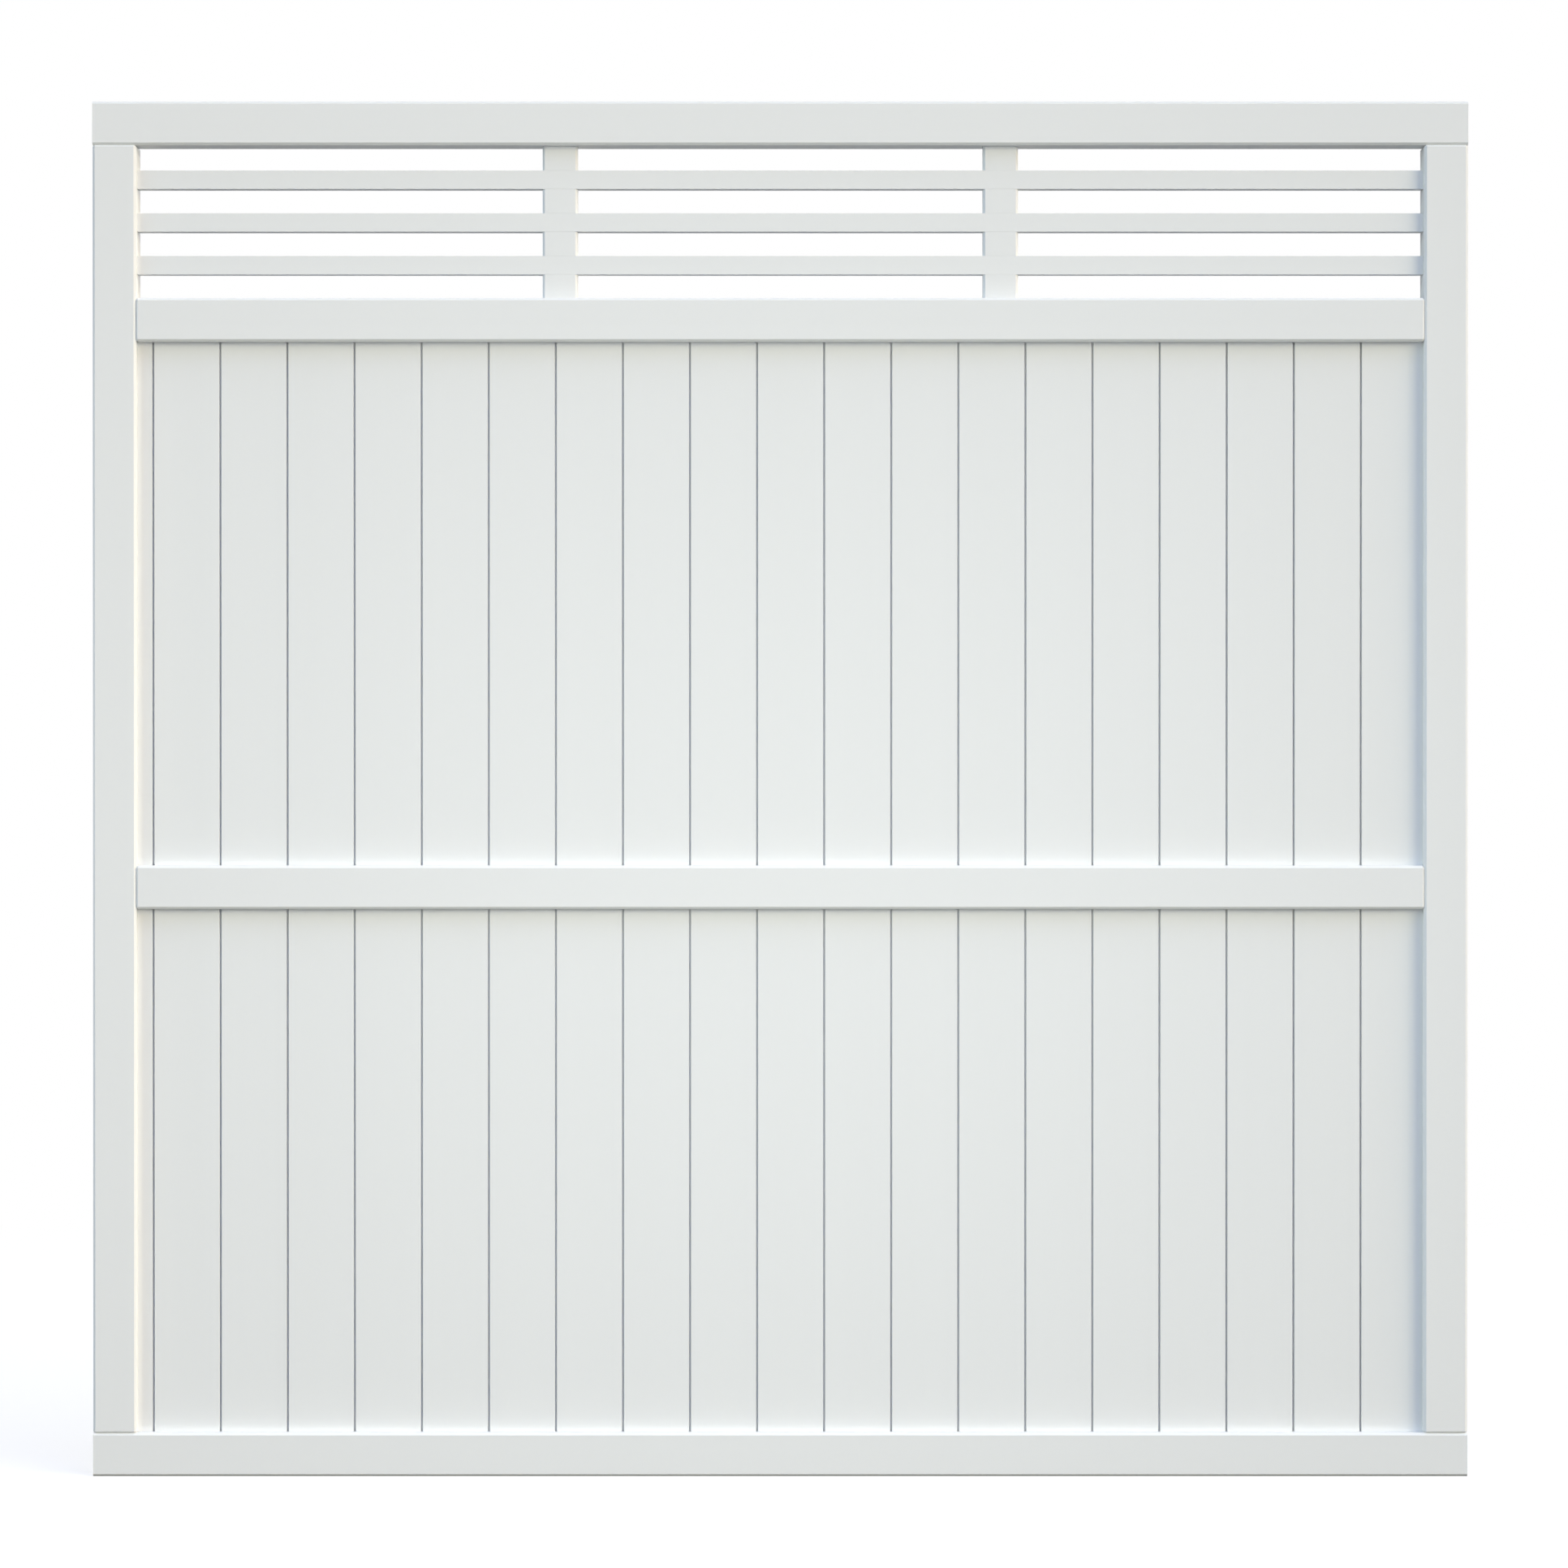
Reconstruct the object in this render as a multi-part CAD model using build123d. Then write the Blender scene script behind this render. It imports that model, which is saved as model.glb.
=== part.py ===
from build123d import *

import math
import os

# White vinyl privacy fence panel: a frame of hollow rails and stiles, a field of tongue-and-groove boards
# crossed by a middle rail, and a slatted light above the boards.
# Millimetres. X runs along the fence from left to right, Y from the front to the back, and Z is up.
# The origin is the middle of the left stile's outer face, where the panel is fastened to a post.

# Overall size
panel_width = 1800.0
panel_height = 1800.0

# Frame extrusion, a hollow section of three chambers, used for every rail and stile
frame_depth = 45.0
member_width = 57.0
frame_wall = 2.6
web_thickness = 2.5
seat_depth = 15.0  # from a member's inner face to the web behind it, where inserted ends stop
edge_chamfer = 3.0
arris_radius = 0.8  # softens the corners that a chamfer leaves
end_chamfer = 2.0
cap_thickness = 4.0

# Slatted light between the top rail and the upper rail
slat_count = 3
slat_height = 24.0
slat_thickness = 20.0
slat_gap = 32.0
divider_count = 2
divider_width = 46.0

# Tongue-and-groove boards, extruded with chambers
board_cover = 88.0
board_thickness = 16.0
board_wall = 1.4
board_web = 1.1
board_chambers = 3
shadow_gap = 2.6  # open joint between two board faces
tongue_thickness = 6.0
tongue_engagement = 7.0
lip_radius = 0.4
first_board_insert = 6.5  # the right-hand board is pushed this far into the stile
cut_board_insert = 11.0  # the left-hand board is cut to reach this far into the stile

# Middle rail, a pair of hollow cover rails, one on each side of the boards
cover_wall = 2.5

# Clearances
fit_clearance = 0.3
lap_clearance = 0.1
end_clearance = 1.0
expansion_gap = 4.0

# Levels and faces worked out from the sizes above
bottom = -panel_height / 2
top = panel_height / 2
field_floor = bottom + member_width
light_ceiling = top - member_width
light_height = slat_count * slat_height + (slat_count + 1) * slat_gap
light_floor = light_ceiling - light_height
field_ceiling = light_floor - member_width
field_middle = (field_floor + field_ceiling) / 2
left_face = member_width
right_face = panel_width - member_width
opening_width = right_face - left_face
slot_width = board_thickness + 2 * fit_clearance


def block(x_range, y_range, z_range):
    """A box between three pairs of coordinates."""
    ranges = (x_range, y_range, z_range)
    sizes = [high - low for low, high in ranges]
    middles = [(low + high) / 2 for low, high in ranges]
    return Pos(*middles) * Box(*sizes)


def across(size, middle=0.0):
    """The range of a size about its middle."""
    return middle - size / 2, middle + size / 2


def soften(outline):
    """Rounds every corner of a chamfered outline a little, as an extrusion's corners are."""
    return fillet(outline.vertices(), arris_radius)


# Frame members


def frame_outline(inset=0.0):
    """Outline of the frame section, width along X and depth along Y, taken in by the inset."""
    outline = Rectangle(member_width, frame_depth)
    outline = chamfer(outline.vertices(), edge_chamfer)
    if inset:
        outline = offset(outline, amount=-inset, kind=Kind.INTERSECTION)
    return outline


def frame_section():
    """Hollow frame section with a web behind each of its two narrow walls."""
    hollow = frame_outline(frame_wall)
    web_middle = member_width / 2 - seat_depth - web_thickness / 2
    for side in (-1, 1):
        hollow -= Pos(side * web_middle, 0) * Rectangle(web_thickness, frame_depth)
    return soften(frame_outline()) - hollow


def rail_plane(x, z):
    """Plane across a rail, on which a frame section lies with its width upright."""
    return Plane(origin=(x, 0, z), x_dir=(0, 1, 0), z_dir=(1, 0, 0)) * Rot(0, 0, 90)


def eased_length(place, section, outline, length, axis):
    """A length of an extruded section, with the outer edges of both ends chamfered round its outline."""
    envelope = extrude(place * outline, length)
    ends = envelope.faces().sort_by(axis)
    edges = ends[0].edges() + ends[-1].edges()
    return extrude(place * section, length) & envelope.chamfer(end_chamfer, None, edges)


def long_rail(z):
    """Top or bottom rail, the full width of the panel, with a pocket for a cap in each end."""
    rail = extrude(rail_plane(0, z) * frame_section(), panel_width)
    for x in (0, panel_width - cap_thickness):
        rail -= extrude(rail_plane(x, z) * frame_outline(frame_wall), cap_thickness)
    return rail


def end_cap(x, z):
    """Plate that closes a long rail's end, flush with the cut."""
    outline = frame_outline(frame_wall + fit_clearance)
    return extrude(rail_plane(x, z) * outline, cap_thickness)


def divider_slots(z_range):
    """Cuts in a rail's wall for the ends of the dividers."""
    slot = offset(divider_section(), amount=fit_clearance, kind=Kind.INTERSECTION)
    low, high = z_range
    return [extrude(Pos(x, 0, low) * slot, high - low) for x in divider_middles()]


def top_rail():
    """Rail over the slatted light, slotted for the upper ends of the dividers."""
    slots = divider_slots((light_ceiling, light_ceiling + seat_depth))
    return long_rail(light_ceiling + member_width / 2) - slots


def bottom_rail():
    """Rail under the boards, slotted for their lower ends and reaching under both stiles."""
    slot_left = left_face - cut_board_insert - fit_clearance
    slot_right = right_face + first_board_insert + fit_clearance
    slot = block((slot_left, slot_right), across(slot_width), (field_floor - seat_depth, field_floor))
    return long_rail(field_floor - member_width / 2) - slot


def upper_rail():
    """Rail between the boards and the slatted light, slotted on both sides."""
    place = rail_plane(left_face, light_floor - member_width / 2)
    rail = eased_length(place, frame_section(), frame_outline(), opening_width, Axis.X)
    rail -= block((left_face, right_face), across(slot_width), (field_ceiling, field_ceiling + seat_depth))
    return rail - divider_slots((light_floor - seat_depth, light_floor))


def stile(x, inner_range):
    """Upright between the long rails, slotted on its inner side for the boards and slats."""
    height = light_ceiling - field_floor
    post = eased_length(Pos(x, 0, field_floor), frame_section(), frame_outline(), height, Axis.Z)
    post -= block(inner_range, across(slot_width), (field_floor, field_ceiling + seat_depth))
    for z in slat_middles():
        post -= block(
            inner_range,
            across(slat_thickness + 2 * fit_clearance),
            across(slat_height + 2 * fit_clearance, z),
        )
    return post


def left_stile():
    """Stile whose outer face carries the origin."""
    return stile(member_width / 2, (left_face - seat_depth, left_face))


def right_stile():
    """Stile at the far end of the panel."""
    return stile(panel_width - member_width / 2, (right_face, right_face + seat_depth))


def middle_rail_front():
    """Cover rail in front of the boards, chamfered on its outer edges and hollow."""
    depth = (frame_depth - board_thickness) / 2 - fit_clearance
    outline = Rectangle(depth, member_width)
    outline = chamfer(outline.vertices().group_by(Axis.X)[0], edge_chamfer)
    section = soften(outline) - offset(outline, amount=-cover_wall, kind=Kind.INTERSECTION)
    middle = (left_face, (depth - frame_depth) / 2, field_middle)
    place = Plane(origin=middle, x_dir=(0, 1, 0), z_dir=(1, 0, 0))
    return eased_length(place, section, outline, opening_width, Axis.X)


def middle_rail_back():
    """Cover rail behind the boards, the front one's mirror image."""
    return mirror(middle_rail_front(), about=Plane.XZ)


# Slatted light


def slat_middles():
    """Heights of the slats' centre lines, from the top down."""
    first = light_ceiling - slat_gap - slat_height / 2
    return [first - i * (slat_height + slat_gap) for i in range(slat_count)]


def divider_middles():
    """Centre lines of the dividers, which leave bays of equal width."""
    bay = (opening_width - divider_count * divider_width) / (divider_count + 1)
    return [left_face + (i + 1) * bay + (i + 0.5) * divider_width for i in range(divider_count)]


def slat(z):
    """Slat from stile to stile, halved at the back where it crosses each divider."""
    reach = seat_depth - end_clearance
    bar = block((left_face - reach, right_face + reach), across(slat_thickness), across(slat_height, z))
    for x in divider_middles():
        notch_width = divider_width + 2 * lap_clearance
        bar -= block(
            across(notch_width, x), (-lap_clearance / 2, slat_thickness / 2), across(slat_height, z)
        )
    return bar


def divider_section():
    """Cross-section of a divider, as deep as the slats are thick."""
    outline = Rectangle(divider_width, slat_thickness)
    return soften(chamfer(outline.vertices(), edge_chamfer))


def divider(x):
    """Upright of the slatted light, halved at the front where it crosses each slat."""
    reach = seat_depth - end_clearance
    foot = Pos(x, 0, light_floor - reach)
    bar = extrude(foot * divider_section(), light_height + 2 * reach)
    for z in slat_middles():
        notch_height = slat_height + 2 * lap_clearance
        bar -= block(
            across(divider_width, x), (-slat_thickness / 2, lap_clearance / 2), across(notch_height, z)
        )
    return bar


# Boards


def board_section():
    """Section of a board over its cover width from X = 0, tongue on the left and groove on the right."""
    face_left = shadow_gap / 2
    face_right = board_cover - shadow_gap / 2
    body = Pos((face_left + face_right) / 2, 0) * Rectangle(face_right - face_left, board_thickness)
    body = fillet(body.vertices(), lip_radius)
    tongue_length = shadow_gap + tongue_engagement
    tongue = Pos(face_left - tongue_length / 2, 0) * Rectangle(tongue_length, tongue_thickness)
    groove_depth = tongue_engagement + end_clearance
    groove_width = tongue_thickness + 2 * fit_clearance
    groove = Pos(face_right - groove_depth / 2, 0) * Rectangle(groove_depth, groove_width)
    return body + tongue - groove - board_hollows(face_left, face_right - groove_depth)


def board_hollows(left, right):
    """Chambers in a board's body between its left face and the bottom of its groove."""
    room = right - left - 2 * board_wall - (board_chambers - 1) * board_web
    width = room / board_chambers
    height = board_thickness - 2 * board_wall
    first = left + board_wall + width / 2
    middles = [first + i * (width + board_web) for i in range(board_chambers)]
    return [Pos(middle, 0) * Rectangle(width, height) for middle in middles]


def boards():
    """Boards from left to right, laid from the right-hand stile, with the left-hand one cut to fit."""
    floor = field_floor - seat_depth
    height = field_ceiling + seat_depth - expansion_gap - floor
    laid_from = right_face + first_board_insert
    count = math.ceil((laid_from - left_face) / board_cover)
    cut = left_face - cut_board_insert
    laid = []
    for i in range(count):
        left_line = laid_from - (i + 1) * board_cover
        laid.append(extrude(Pos(left_line, 0, floor) * board_section(), height))
    kept = block((cut, panel_width), across(frame_depth), (floor, floor + height))
    laid[-1] = laid[-1] & kept
    return laid[::-1]


def pieces():
    """Every piece of the panel by name."""
    made = {
        "top_rail": top_rail(),
        "upper_rail": upper_rail(),
        "middle_rail_front": middle_rail_front(),
        "middle_rail_back": middle_rail_back(),
        "bottom_rail": bottom_rail(),
        "left_stile": left_stile(),
        "right_stile": right_stile(),
    }
    for rail, z in (("top", light_ceiling + member_width / 2), ("bottom", field_floor - member_width / 2)):
        made[f"{rail}_rail_left_cap"] = end_cap(0, z)
        made[f"{rail}_rail_right_cap"] = end_cap(panel_width - cap_thickness, z)
    for i, z in enumerate(slat_middles(), 1):
        made[f"slat_{i}"] = slat(z)
    for i, x in enumerate(divider_middles(), 1):
        made[f"divider_{i}"] = divider(x)
    for i, board in enumerate(boards(), 1):
        made[f"board_{i:02d}"] = board
    return made


os.makedirs("parts", exist_ok=True)
for name, piece in pieces().items():
    export_step(piece, f"parts/{name}.step")
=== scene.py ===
"""White vinyl fence panel: finishes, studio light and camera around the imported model.

Metres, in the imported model's own frame: X along the fence, Y from the front to the back, Z up.
"""

import logging
import math
from collections.abc import Sequence
from dataclasses import dataclass
from enum import Enum

import bmesh
import bpy
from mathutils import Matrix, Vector


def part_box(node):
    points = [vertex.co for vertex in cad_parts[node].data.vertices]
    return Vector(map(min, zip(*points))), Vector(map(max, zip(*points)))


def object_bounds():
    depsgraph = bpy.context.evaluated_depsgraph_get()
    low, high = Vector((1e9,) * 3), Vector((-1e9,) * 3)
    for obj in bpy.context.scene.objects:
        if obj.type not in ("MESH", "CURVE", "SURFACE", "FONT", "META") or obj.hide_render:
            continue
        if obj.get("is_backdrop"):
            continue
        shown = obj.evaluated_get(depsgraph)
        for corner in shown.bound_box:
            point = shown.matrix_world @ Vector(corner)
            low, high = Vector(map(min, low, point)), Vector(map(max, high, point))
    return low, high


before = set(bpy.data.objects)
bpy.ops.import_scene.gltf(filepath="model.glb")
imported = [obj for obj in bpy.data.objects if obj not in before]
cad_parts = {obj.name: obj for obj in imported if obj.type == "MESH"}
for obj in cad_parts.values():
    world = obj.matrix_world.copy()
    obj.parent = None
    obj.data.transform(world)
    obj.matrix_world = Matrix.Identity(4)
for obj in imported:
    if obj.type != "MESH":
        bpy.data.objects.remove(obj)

log = logging.getLogger("fence_panel")

Colour = tuple[float, float, float]

PHOTO_PIXELS = 1932
MM_IN_M = 1000
LEVEL_TURN = 90.0  # degrees from straight down, where an unturned camera looks, to level


class Run(Enum):
    """Way in which an extrusion left its die, as a scale along X, Y and Z that draws a pattern out."""

    ALONG_FENCE = (0.012, 1.0, 1.0)
    UPRIGHT = (1.0, 1.0, 0.012)
    NONE = (1.0, 1.0, 1.0)


@dataclass(frozen=True)
class Pattern:
    """Irregular pattern of a surface.

    Attributes:
        scale: Number of features in a metre.
        detail: Number of finer layers.
    """

    scale: float
    detail: float

    def add(
        self, nodes: bpy.types.Nodes, links: bpy.types.NodeLinks, vector: bpy.types.NodeSocket
    ) -> bpy.types.NodeSocket:
        """Adds the pattern to a material.

        Args:
            nodes: The material's nodes.
            links: The material's links.
            vector: Coordinates that the pattern reads.

        Returns:
            The pattern's value, from 0 to 1.
        """
        noise = nodes.new("ShaderNodeTexNoise")
        noise.inputs["Scale"].default_value = self.scale
        noise.inputs["Detail"].default_value = self.detail
        links.new(vector, noise.inputs["Vector"])
        return noise.outputs["Fac"]


@dataclass(frozen=True)
class VinylFinish:
    """Satin white vinyl with faint die lines and a slight orange peel.

    Attributes:
        name: Name of the material.
        run: Direction along which the die lines and the drift of tone are drawn out.
        colour: Linear base colour.
        tone_shift: Share by which the colour drifts over a piece.
        roughness: Lowest and highest roughness.
        refraction: Index of refraction.
        specular: Level of the reflections.
        lines: Pattern of the die lines.
        drift: Pattern of the drift of tone.
        peel: Pattern of the orange peel.
        line_height: Height of the die lines, in metres.
        peel_height: Height of the orange peel, in metres.
    """

    name: str
    run: Run
    colour: Colour = (0.80, 0.81, 0.805)
    tone_shift: float = 0.012
    roughness: tuple[float, float] = (0.52, 0.62)
    refraction: float = 1.52
    specular: float = 0.15
    lines: Pattern = Pattern(scale=420.0, detail=3.0)
    drift: Pattern = Pattern(scale=9.0, detail=2.0)
    peel: Pattern = Pattern(scale=900.0, detail=1.0)
    line_height: float = 0.00002
    peel_height: float = 0.000012

    def material(self) -> bpy.types.Material:
        """Builds the node material.

        Returns:
            The finished material.
        """
        material = bpy.data.materials.new(self.name)
        material.use_nodes = True
        nodes, links = material.node_tree.nodes, material.node_tree.links
        shader = nodes["Principled BSDF"]
        shader.inputs["IOR"].default_value = self.refraction
        shader.inputs["Specular IOR Level"].default_value = self.specular

        place = nodes.new("ShaderNodeTexCoord").outputs["Object"]
        drawn = nodes.new("ShaderNodeMapping")
        drawn.inputs["Scale"].default_value = self.run.value
        links.new(place, drawn.inputs["Vector"])
        lines = self.lines.add(nodes, links, drawn.outputs["Vector"])
        drift = self.drift.add(nodes, links, drawn.outputs["Vector"])
        peel = self.peel.add(nodes, links, place)

        tone = nodes.new("ShaderNodeValToRGB")
        shares = (1.0 - self.tone_shift, 1.0 + self.tone_shift)
        for stop, share in zip(tone.color_ramp.elements, shares):
            stop.color = (*(channel * share for channel in self.colour), 1.0)
        links.new(drift, tone.inputs["Fac"])
        links.new(tone.outputs["Color"], shader.inputs["Base Color"])

        gloss = nodes.new("ShaderNodeMapRange")
        gloss.inputs["To Min"].default_value, gloss.inputs["To Max"].default_value = self.roughness
        links.new(lines, gloss.inputs["Value"])
        links.new(gloss.outputs["Result"], shader.inputs["Roughness"])

        raised = self._relief(nodes, links, lines, self.line_height, None)
        raised = self._relief(nodes, links, peel, self.peel_height, raised)
        links.new(raised, shader.inputs["Normal"])
        return material

    @staticmethod
    def _relief(
        nodes: bpy.types.Nodes,
        links: bpy.types.NodeLinks,
        pattern: bpy.types.NodeSocket,
        height: float,
        under: bpy.types.NodeSocket | None,
    ) -> bpy.types.NodeSocket:
        """Adds a layer of relief.

        Args:
            nodes: The material's nodes.
            links: The material's links.
            pattern: Value from 0 to 1 that is raised.
            height: Height of the relief, in metres.
            under: Normal of the layer below, if there is one.

        Returns:
            The new normal.
        """
        bump = nodes.new("ShaderNodeBump")
        bump.inputs["Distance"].default_value = height
        links.new(pattern, bump.inputs["Height"])
        if under is not None:
            links.new(under, bump.inputs["Normal"])
        return bump.outputs["Normal"]


@dataclass
class SubAssembly:
    """A part of the panel, whose pieces come packed in their final shapes and are dressed here.

    Attributes:
        name: What the part is called in the log.
    """

    name: str

    def build(self) -> None:
        """Dresses the pieces, which each part does for its own."""
        raise NotImplementedError

    def dress(self, pieces: Sequence[str], finish: VinylFinish) -> None:
        """Gives pieces their finish and reports each of them.

        Args:
            pieces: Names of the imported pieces.
            finish: The finish that they share.
        """
        material = finish.material()
        for piece in pieces:
            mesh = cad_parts[piece].data
            mesh.materials.clear()
            mesh.materials.append(material)
            low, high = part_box(piece)
            sides = [round(MM_IN_M * side) for side in high - low]
            log.info("%s: %s in %s, %s mm", self.name, piece, finish.name, sides)


@dataclass
class PanelFrame(SubAssembly):
    """Hollow rails and stiles, with the plates that close the ends of the long rails.

    Attributes:
        rails: Names of the rails, which run along the fence.
        stiles: Names of the stiles, which stand between the long rails.
        caps: Names of the plates.
    """

    name: str = "frame"
    rails: tuple[str, ...] = (
        "top_rail",
        "upper_rail",
        "middle_rail_front",
        "middle_rail_back",
        "bottom_rail",
    )
    stiles: tuple[str, ...] = ("left_stile", "right_stile")
    caps: tuple[str, ...] = (
        "top_rail_left_cap",
        "top_rail_right_cap",
        "bottom_rail_left_cap",
        "bottom_rail_right_cap",
    )

    def build(self) -> None:
        """Dresses the rails, the stiles and the caps."""
        self.dress(self.rails, VinylFinish("rail_vinyl", Run.ALONG_FENCE))
        self.dress(self.stiles, VinylFinish("stile_vinyl", Run.UPRIGHT))
        self.dress(self.caps, VinylFinish("cap_vinyl", Run.NONE))


@dataclass
class SlattedLight(SubAssembly):
    """Slats and dividers above the boards.

    Attributes:
        slat_count: Number of slats.
        divider_count: Number of dividers.
    """

    name: str = "slatted light"
    slat_count: int = 3
    divider_count: int = 2

    def build(self) -> None:
        """Dresses the slats and the dividers."""
        slats = [f"slat_{i}" for i in range(1, self.slat_count + 1)]
        dividers = [f"divider_{i}" for i in range(1, self.divider_count + 1)]
        self.dress(slats, VinylFinish("slat_vinyl", Run.ALONG_FENCE))
        self.dress(dividers, VinylFinish("divider_vinyl", Run.UPRIGHT))


@dataclass
class Boarding(SubAssembly):
    """Tongue-and-groove boards between the bottom rail and the upper rail.

    Attributes:
        board_count: Number of boards.
    """

    name: str = "boarding"
    board_count: int = 20

    def build(self) -> None:
        """Dresses the boards."""
        boards = [f"board_{i:02d}" for i in range(1, self.board_count + 1)]
        self.dress(boards, VinylFinish("board_vinyl", Run.UPRIGHT))


@dataclass(frozen=True, kw_only=True)
class Lamp:
    """A soft lamp that faces the panel's middle.

    Attributes:
        name: The lamp's name.
        bearing: Its direction from the panel's front towards the right, in degrees.
        elevation: Its direction above the panel's middle, in degrees.
        distance: How far it stands from the panel's middle.
        power: Its power, in watts, or in watts for each square metre that it lights from afar.
        colour: Its linear colour.
        glints: Whether it shows in reflections.
    """

    name: str
    bearing: float
    elevation: float
    distance: float = 8.0
    power: float
    colour: Colour
    glints: bool = True

    def light(self) -> bpy.types.Light:
        """Makes the light, which each kind of lamp has of its own."""
        raise NotImplementedError

    def hang(self, target: Vector) -> None:
        """Hangs the lamp and points it at the panel's middle.

        Args:
            target: The panel's middle.
        """
        data = self.light()
        data.energy = self.power
        data.color = self.colour
        lamp = bpy.data.objects.new(self.name, data)
        bpy.context.scene.collection.objects.link(lamp)
        bearing, elevation = math.radians(self.bearing), math.radians(self.elevation)
        level = math.cos(elevation)
        way = Vector((math.sin(bearing) * level, -math.cos(bearing) * level, math.sin(elevation)))
        lamp.location = target + way * self.distance
        lamp.rotation_euler = way.to_track_quat("Z", "Y").to_euler()
        lamp.visible_camera = False
        lamp.visible_glossy = self.glints
        log.info("lamp: %s", self.name)


@dataclass(frozen=True, kw_only=True)
class DistantLamp(Lamp):
    """A wide lamp so far off that it lights the whole panel evenly.

    Attributes:
        spread: Width of the lamp as the panel sees it, in degrees.
    """

    spread: float

    def light(self) -> bpy.types.Light:
        """Makes a round distant light.

        Returns:
            The light, before its power and colour are set.
        """
        data = bpy.data.lights.new(self.name, "SUN")
        data.angle = math.radians(self.spread)
        return data


@dataclass(frozen=True, kw_only=True)
class NearLamp(Lamp):
    """A square lamp close to the panel, whose light falls off across it.

    Attributes:
        side: Length of its side.
    """

    side: float

    def light(self) -> bpy.types.Light:
        """Makes a square light.

        Returns:
            The light, before its power and colour are set.
        """
        data = bpy.data.lights.new(self.name, "AREA")
        data.shape = "SQUARE"
        data.size = self.side
        return data


@dataclass
class Studio:
    """Plain floor, white surroundings and soft lamps.

    Attributes:
        floor_side: Length of the floor's side.
        floor_grey: Share of the light that the floor gives back to the panel.
        floor_tone: Share of the light that the floor shows the camera.
        floor_glow: Light that the floor adds to that, so that only its shadows are darker than white.
        fade: Distances from the panel over which the floor turns into the white surroundings.
        surround: Linear colour of the surroundings as they are seen.
        ambient: Linear colour of the light from all round.
        lamps: The lamps, of which left, right and back are for the sides that the camera doesn't face.
    """

    floor_side: float = 60.0
    floor_grey: float = 0.06
    floor_tone: float = 0.42
    floor_glow: float = 0.69
    fade: tuple[float, float] = (1.6, 3.6)
    surround: Colour = (1.0, 1.0, 1.0)
    ambient: Colour = (0.004, 0.006, 0.026)
    lamps: tuple[Lamp, ...] = (
        DistantLamp(
            name="key",
            bearing=47.0,
            elevation=9.0,
            spread=34.0,
            power=1.68,
            colour=(1.0, 0.93, 0.665),
        ),
        DistantLamp(
            name="side",
            bearing=70.0,
            elevation=20.0,
            spread=36.0,
            power=1.22,
            colour=(1.0, 0.798, 0.643),
        ),
        DistantLamp(
            name="overhead",
            bearing=66.0,
            elevation=55.0,
            spread=40.0,
            power=0.91,
            colour=(0.93, 1.0, 0.798),
        ),
        DistantLamp(
            name="top",
            bearing=10.0,
            elevation=65.0,
            spread=40.0,
            power=0.93,
            colour=(0.327, 0.458, 1.0),
        ),
        DistantLamp(
            name="fill",
            bearing=-53.0,
            elevation=14.0,
            spread=45.0,
            power=1.367,
            colour=(0.845, 0.98, 1.0),
        ),
        DistantLamp(
            name="front",
            bearing=18.0,
            elevation=4.0,
            spread=24.0,
            power=0.255,
            colour=(0.595, 0.595, 1.0),
        ),
        NearLamp(
            name="near",
            bearing=0.0,
            elevation=-6.0,
            distance=1.3,
            side=1.0,
            power=4.37,
            colour=(0.935, 1.0, 0.994),
        ),
        NearLamp(
            name="left",
            bearing=-90.0,
            elevation=0.0,
            distance=2.2,
            side=0.5,
            power=5.4,
            colour=(1.0, 0.94, 0.88),
            glints=False,
        ),
        NearLamp(
            name="right",
            bearing=90.0,
            elevation=0.0,
            distance=2.7,
            side=0.5,
            power=5.0,
            colour=(0.06, 0.38, 1.0),
            glints=False,
        ),
        DistantLamp(
            name="back",
            bearing=169.0,
            elevation=9.0,
            spread=20.0,
            power=2.78,
            colour=(1.0, 0.985, 0.968),
            glints=False,
        ),
    )

    def build(self, low: Vector, high: Vector) -> None:
        """Lays the floor, sets the surroundings and hangs the lamps.

        Args:
            low: Lowest corner of the panel.
            high: Highest corner of the panel.
        """
        middle = (low + high) / 2
        self._floor(Vector((middle.x, middle.y, low.z)))
        self._surroundings()
        for lamp in self.lamps:
            lamp.hang(middle)

    def _floor(self, foot: Vector) -> None:
        """Lays the floor under the panel.

        Args:
            foot: Middle of the panel's foot.
        """
        mesh = bpy.data.meshes.new("floor")
        shape = bmesh.new()
        bmesh.ops.create_grid(shape, x_segments=1, y_segments=1, size=self.floor_side / 2)
        bmesh.ops.translate(shape, verts=shape.verts, vec=foot)
        shape.to_mesh(mesh)
        shape.free()
        floor = bpy.data.objects.new("floor", mesh)
        bpy.context.scene.collection.objects.link(floor)
        mesh.materials.append(self._floor_material(foot))
        floor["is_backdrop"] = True

    def _floor_material(self, foot: Vector) -> bpy.types.Material:
        """Makes the floor white to the eye and in reflections, and greyer in the light that it gives back.

        Args:
            foot: Middle of the panel's foot, round which the floor keeps the panel's shadow.

        Returns:
            The floor's material.
        """
        material = bpy.data.materials.new("floor_white")
        material.use_nodes = True
        nodes, links = material.node_tree.nodes, material.node_tree.links
        nodes.clear()
        seen = seen_rays(nodes, links)

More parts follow.
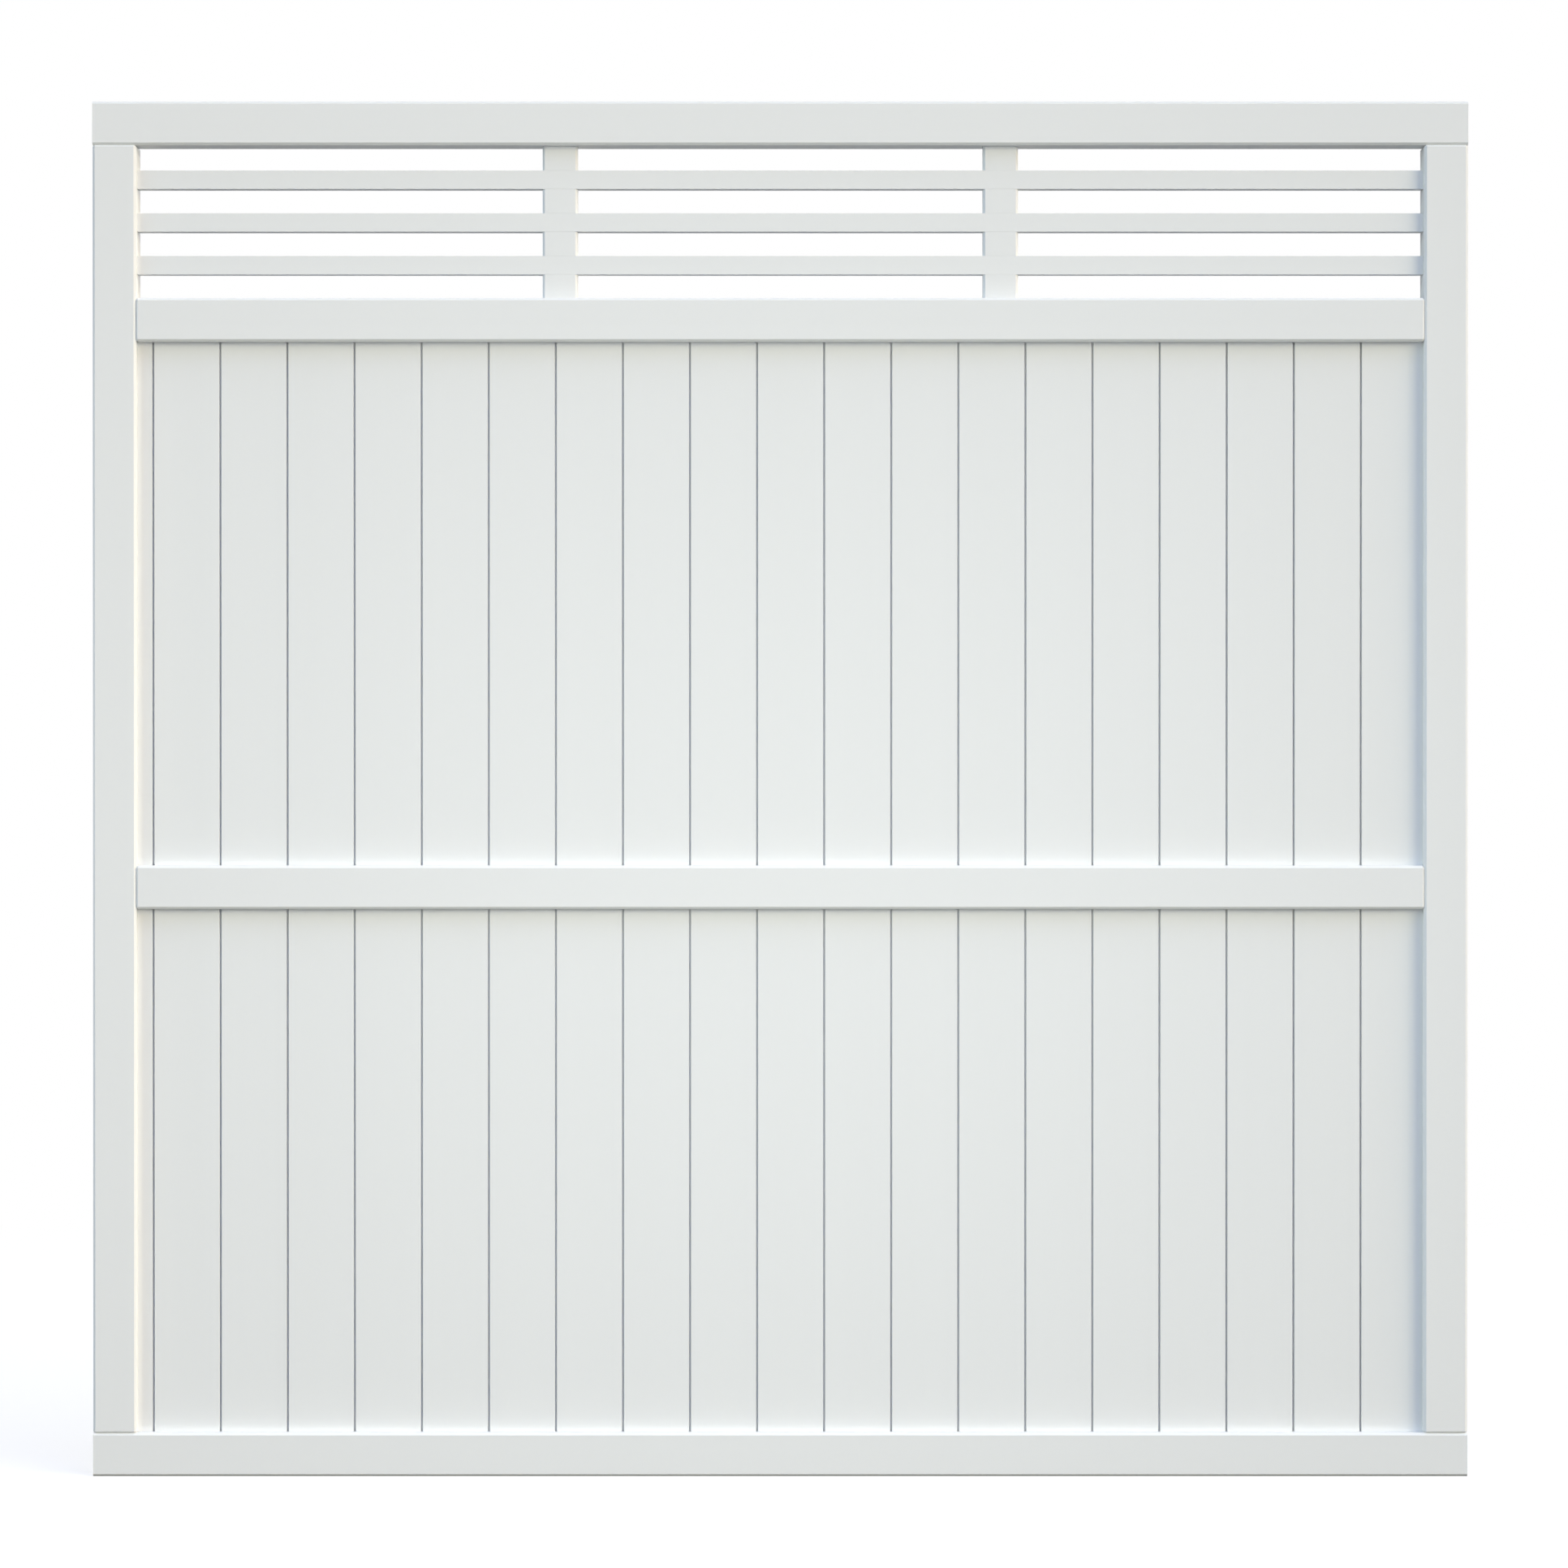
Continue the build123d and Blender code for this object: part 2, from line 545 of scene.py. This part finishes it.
        tone = nodes.new("ShaderNodeMapRange")
        tone.inputs["To Min"].default_value = self.floor_grey
        tone.inputs["To Max"].default_value = self.floor_tone
        links.new(seen, tone.inputs["Value"])
        matt = nodes.new("ShaderNodeBsdfDiffuse")
        links.new(tone.outputs["Result"], matt.inputs["Color"])
        glow = nodes.new("ShaderNodeEmission")
        strength = nodes.new("ShaderNodeMath")
        strength.operation = "MULTIPLY"
        strength.inputs[1].default_value = self.floor_glow
        links.new(seen, strength.inputs[0])
        links.new(strength.outputs["Value"], glow.inputs["Strength"])
        near = nodes.new("ShaderNodeAddShader")
        links.new(matt.outputs["BSDF"], near.inputs[0])
        links.new(glow.outputs["Emission"], near.inputs[1])

        reach = nodes.new("ShaderNodeVectorMath")
        reach.operation = "DISTANCE"
        reach.inputs[1].default_value = foot
        links.new(nodes.new("ShaderNodeTexCoord").outputs["Object"], reach.inputs[0])
        far = nodes.new("ShaderNodeMapRange")
        far.interpolation_type = "SMOOTHSTEP"
        far.inputs["From Min"].default_value, far.inputs["From Max"].default_value = self.fade
        links.new(reach.outputs["Value"], far.inputs["Value"])
        share = nodes.new("ShaderNodeMath")
        share.operation = "MULTIPLY"
        links.new(far.outputs["Result"], share.inputs[0])
        links.new(seen, share.inputs[1])
        mixed = nodes.new("ShaderNodeMixShader")
        links.new(share.outputs["Value"], mixed.inputs["Fac"])
        links.new(near.outputs["Shader"], mixed.inputs[1])
        links.new(nodes.new("ShaderNodeEmission").outputs["Emission"], mixed.inputs[2])
        out = nodes.new("ShaderNodeOutputMaterial")
        links.new(mixed.outputs["Shader"], out.inputs["Surface"])
        return material

    def _surroundings(self) -> None:
        """Sets a white surround for the camera and reflections, and a soft ambient light for the panel."""
        world = bpy.data.worlds.new("surroundings")
        bpy.context.scene.world = world
        world.use_nodes = True
        nodes, links = world.node_tree.nodes, world.node_tree.links
        colour = nodes.new("ShaderNodeMix")
        colour.data_type = "RGBA"
        colour.inputs["A"].default_value = (*self.ambient, 1.0)
        colour.inputs["B"].default_value = (*self.surround, 1.0)
        links.new(seen_rays(nodes, links), colour.inputs["Factor"])
        links.new(colour.outputs["Result"], nodes["Background"].inputs["Color"])


def seen_rays(nodes: bpy.types.Nodes, links: bpy.types.NodeLinks) -> bpy.types.NodeSocket:
    """Tells the rays that are seen, straight, reflected or through glass, from those that only light.

    Args:
        nodes: Nodes of the material or world.
        links: Its links.

    Returns:
        A value of 1 on rays that are seen.
    """
    path = nodes.new("ShaderNodeLightPath")
    total = path.outputs["Is Camera Ray"]
    for kind in ("Is Glossy Ray", "Is Transmission Ray"):
        either = nodes.new("ShaderNodeMath")
        either.operation = "MAXIMUM"
        links.new(total, either.inputs[0])
        links.new(path.outputs[kind], either.inputs[1])
        total = either.outputs["Value"]
    return total


@dataclass
class PhotoCamera:
    """Camera square to the panel's front, with a long lens.

    Attributes:
        focal_px: Focal length, in pixels of the photograph.
        distance: From the panel's front face.
        right: How far the camera stands to the right of the panel's middle.
        up: How far it stands above the middle.
        tilt: How far it looks down, in degrees.
        sensor: Width of the sensor, in millimetres.
        reach: How far the camera sees.
    """

    focal_px: float = 5691.0
    distance: float = 6.045
    right: float = 0.0049
    up: float = 0.0314
    tilt: float = 0.232
    sensor: float = 36.0
    reach: float = 200.0

    def build(self, low: Vector, high: Vector) -> None:
        """Sets up the camera.

        Args:
            low: Lowest corner of the panel.
            high: Highest corner of the panel.
        """
        data = bpy.data.cameras.new("camera")
        data.sensor_width = self.sensor
        data.lens = self.sensor * self.focal_px / PHOTO_PIXELS
        data.clip_end = self.reach
        camera = bpy.data.objects.new("camera", data)
        bpy.context.scene.collection.objects.link(camera)
        middle = (low + high) / 2
        camera.location = (middle.x + self.right, low.y - self.distance, middle.z + self.up)
        camera.rotation_euler = (math.radians(LEVEL_TURN - self.tilt), 0.0, 0.0)
        bpy.context.scene.camera = camera


def main() -> None:
    """Dresses the panel, lights it and sets the camera."""
    logging.basicConfig(level=logging.INFO, format="%(name)s: %(message)s")
    cad_low, cad_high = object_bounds()
    for part in (PanelFrame(), SlattedLight(), Boarding()):
        part.build()
    Studio().build(cad_low, cad_high)
    PhotoCamera().build(cad_low, cad_high)
    bpy.context.scene.view_settings.view_transform = "Standard"


if __name__ == "__main__":
    main()
